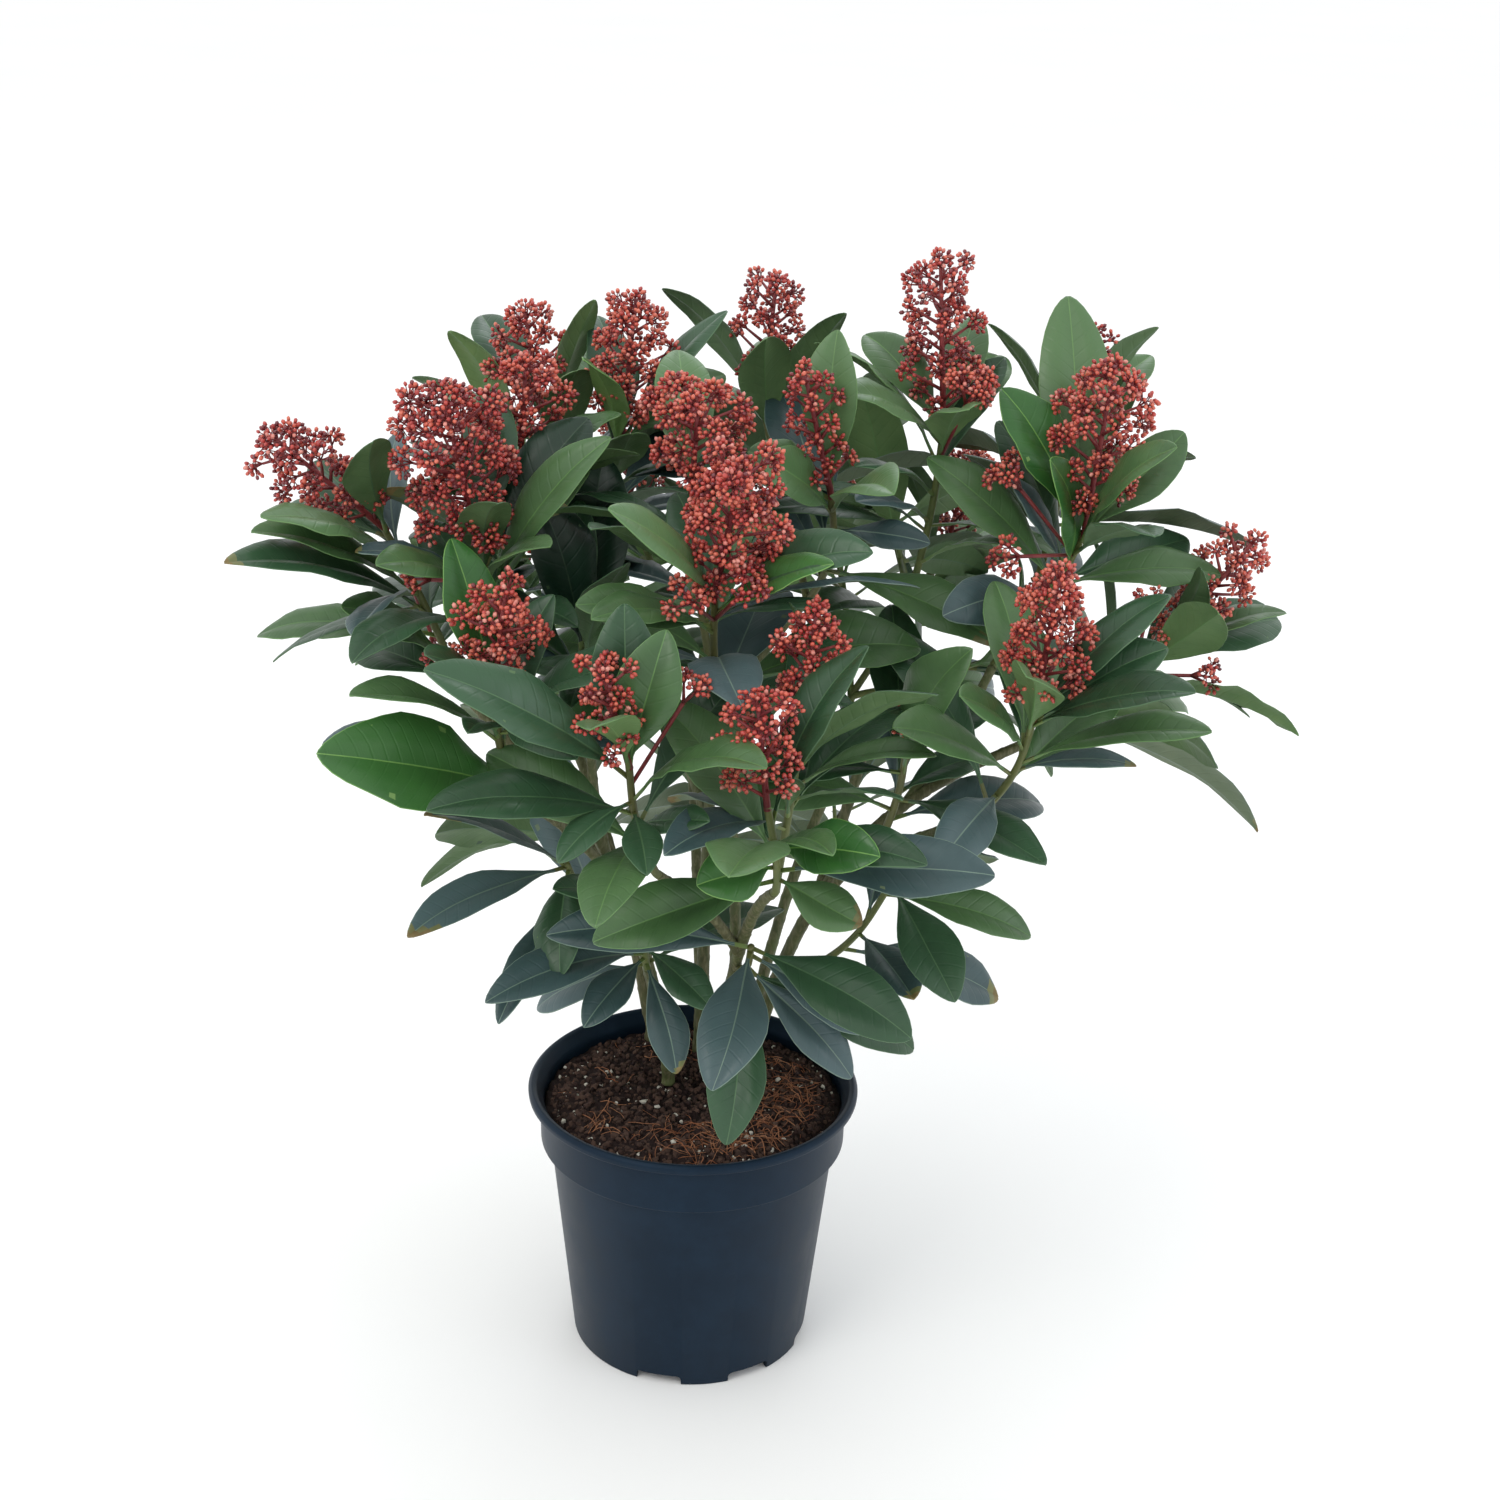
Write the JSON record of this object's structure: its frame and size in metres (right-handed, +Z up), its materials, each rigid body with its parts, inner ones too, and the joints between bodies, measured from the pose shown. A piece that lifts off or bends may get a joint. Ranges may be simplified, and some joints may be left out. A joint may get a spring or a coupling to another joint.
{
  "type": "skimmia shrub in a nursery pot",
  "caption": "Evergreen flowering shrub with long dark leaves and panicles of red buds, growing in a round black plastic pot.",
  "frame": {"origin": "middle of the pot's flat underside", "axes": "+Z up, +X to the right and +Y to the back of the plant as it was pictured"},
  "size_m": [0.5092, 0.4639, 0.567],
  "materials": {
    "pot_plastic": "moulded, satin",
    "potting_soil": "damp peat and coir, rough",
    "bark": "smooth green-brown bark, matte",
    "foliage": "leathery leaves, satin, with matte red buds"
  },
  "bodies": {
    "root": {"pot": "pot_plastic", "potting_soil": "potting_soil", "stem_left": "bark", "stem_front_left": "bark", "stem_front": "bark", "stem_right": "bark", "stem_middle": "bark", "stem_back_left": "bark", "stem_back": "bark", "stem_back_right": "bark", "bough_left": "bark", "bough_far_left": "bark", "bough_left_front": "bark", "bough_front": "bark", "bough_front_left": "bark", "bough_middle_left": "bark", "bough_middle": "bark", "bough_right": "bark", "bough_right_front": "bark", "bough_right_upper": "bark", "bough_right_middle": "bark", "bough_top_right": "bark", "bough_top_middle": "bark", "bough_top_left": "bark", "foliage_far_left": "foliage", "foliage_left": "foliage", "foliage_left_front": "foliage", "foliage_top_left": "foliage", "foliage_middle": "foliage", "foliage_middle_left": "foliage", "foliage_front_left": "foliage", "foliage_front": "foliage", "foliage_top_middle": "foliage", "foliage_top_right": "foliage", "foliage_right_middle": "foliage", "foliage_right_upper": "foliage", "foliage_right_front": "foliage", "foliage_far_right": "foliage", "foliage_back_left": "foliage", "foliage_back": "foliage", "foliage_back_right": "foliage", "foliage_low_left": "foliage", "foliage_low_front_left": "foliage", "foliage_low_front": "foliage", "foliage_low_right": "foliage", "foliage_low_back_left": "foliage", "foliage_low_back": "foliage", "foliage_low_back_right": "foliage"}
  },
  "joints": []
}
